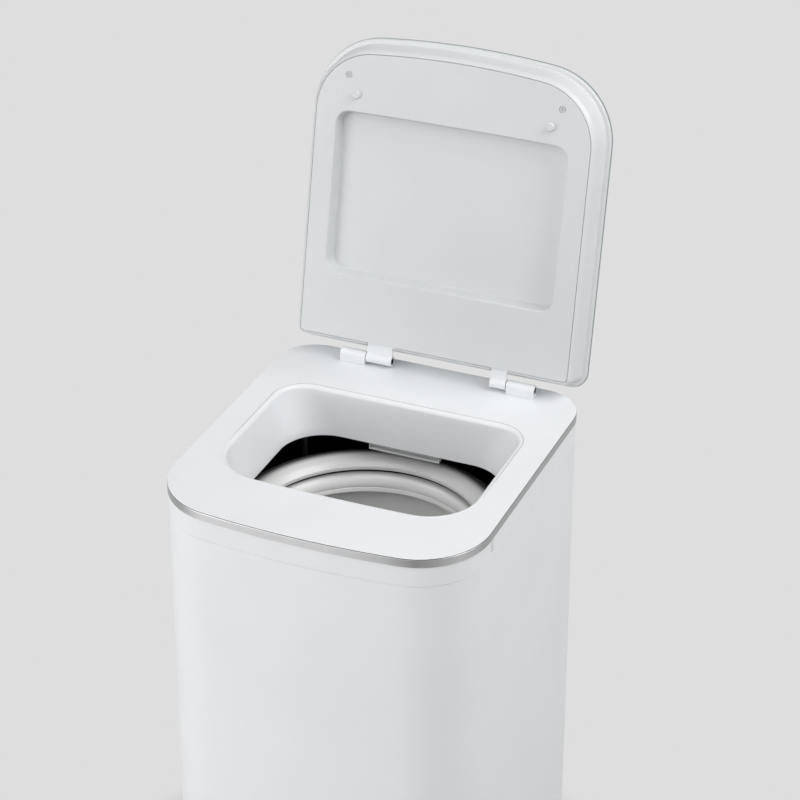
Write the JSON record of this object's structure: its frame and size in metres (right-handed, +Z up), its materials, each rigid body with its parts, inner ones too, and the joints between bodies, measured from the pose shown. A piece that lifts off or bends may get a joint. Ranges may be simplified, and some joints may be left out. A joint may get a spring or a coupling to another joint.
{
  "type": "portable washing machine",
  "caption": "Compact top-loading washing machine: white cabinet with bowed front, silver trim, funnel deck, hinged glass lid, suspended tub, spinning drum and belt-driven pulsator.",
  "frame": {"origin": "on the floor, under the drum's axis", "axes": "+Z up along the drum's axis, +X to the right seen from the front, -Y towards the front"},
  "size_m": [0.42, 0.5467, 1.1656],
  "materials": {
    "white_coated_steel": "satin",
    "white_moulding": "satin",
    "lid_glass": "gloss",
    "brushed_trim": "satin",
    "grey_moulding": "satin",
    "tub_moulding": "matte",
    "stainless": "satin",
    "plated_fasteners": "satin",
    "galvanised_plate": "satin",
    "cast_alloy": "satin",
    "motor_paint": "satin",
    "dark_moulding": "satin",
    "pale_rubber": "matte",
    "black_rubber": "matte",
    "board_green": "satin",
    "magnet_grey": "matte"
  },
  "bodies": {
    "cabinet": {"base_tray": "grey_moulding", "cabinet_shell": "white_coated_steel", "control_board": "board_green", "control_housing": "grey_moulding", "cord_gland": "dark_moulding", "deck": "white_moulding", "drain_pump": "dark_moulding", "drain_spigot": "grey_moulding", "foot_front_left": "black_rubber", "foot_front_right": "black_rubber", "foot_rear_left": "black_rubber", "foot_rear_right": "black_rubber", "hinge_base_left": "white_moulding", "hinge_base_right": "white_moulding", "hinge_pin_left": "stainless", "hinge_pin_right": "stainless", "inlet_spout": "grey_moulding", "inlet_valve": "dark_moulding", "lid_switch": "dark_moulding", "rear_panel": "white_coated_steel", "rear_panel_screws": "plated_fasteners", "screw_cap_left": "white_moulding", "screw_cap_right": "white_moulding", "suspension_rod_front_left": "stainless", "suspension_rod_front_right": "stainless", "suspension_rod_rear_left": "stainless", "suspension_rod_rear_right": "stainless", "top_collar": "white_moulding", "trim_band": "brushed_trim"},
    "lid": {"lid_glass": "lid_glass", "lid_bezel": "white_moulding", "lid_inner_panel": "white_moulding", "lid_screws": "plated_fasteners", "lid_bumpers": "pale_rubber", "lid_magnet": "magnet_grey", "lid_arm_left": "white_moulding", "lid_arm_right": "white_moulding"},
    "tub": {"outer_tub": "tub_moulding", "tub_ring": "grey_moulding", "tub_seal": "black_rubber", "support_plate": "galvanised_plate", "clutch_housing": "cast_alloy", "motor_housing": "motor_paint", "drive_belt": "black_rubber", "damper_cup_front_left": "tub_moulding", "damper_cup_front_right": "tub_moulding", "damper_cup_rear_left": "tub_moulding", "damper_cup_rear_right": "tub_moulding"},
    "drum": {"drum_wall": "stainless", "drum_base": "tub_moulding", "balance_ring": "grey_moulding", "spin_tube": "stainless"},
    "pulsator": {"pulsator": "grey_moulding", "pulsator_cap": "grey_moulding", "wash_shaft": "stainless", "drive_pulley": "cast_alloy", "pulley_nut": "plated_fasteners"},
    "motor_rotor": {"motor_shaft": "stainless", "motor_pulley": "cast_alloy"}
  },
  "joints": [
    {"name": "lid_hinge", "type": "hinge", "parent": "cabinet", "child": "lid", "pos_m": [0, 0.2205, 0.7555], "axis": [1, 0, 0], "range_deg": [0, 102]},
    {"name": "tub_bounce", "type": "slide", "parent": "cabinet", "child": "tub", "axis": [0, 0, 1], "range_m": [-0.008, 0.008], "stiffness_N_per_m": 12000, "springref_m": 0.01354},
    {"name": "drum_spin", "type": "hinge", "parent": "tub", "child": "drum", "pos_m": [0, 0, 0.4], "axis": [0, 0, 1], "continuous": true},
    {"name": "pulsator_spin", "type": "hinge", "parent": "tub", "child": "pulsator", "pos_m": [0, 0, 0.25], "axis": [0, 0, 1], "continuous": true},
    {"name": "motor_spin", "type": "hinge", "parent": "tub", "child": "motor_rotor", "pos_m": [0, -0.118, 0.085], "axis": [0, 0, 1], "continuous": true}
  ],
  "couplings": [
    {"joint": "motor_spin", "follows": "pulsator_spin", "ratio": 3.8125}
  ]
}
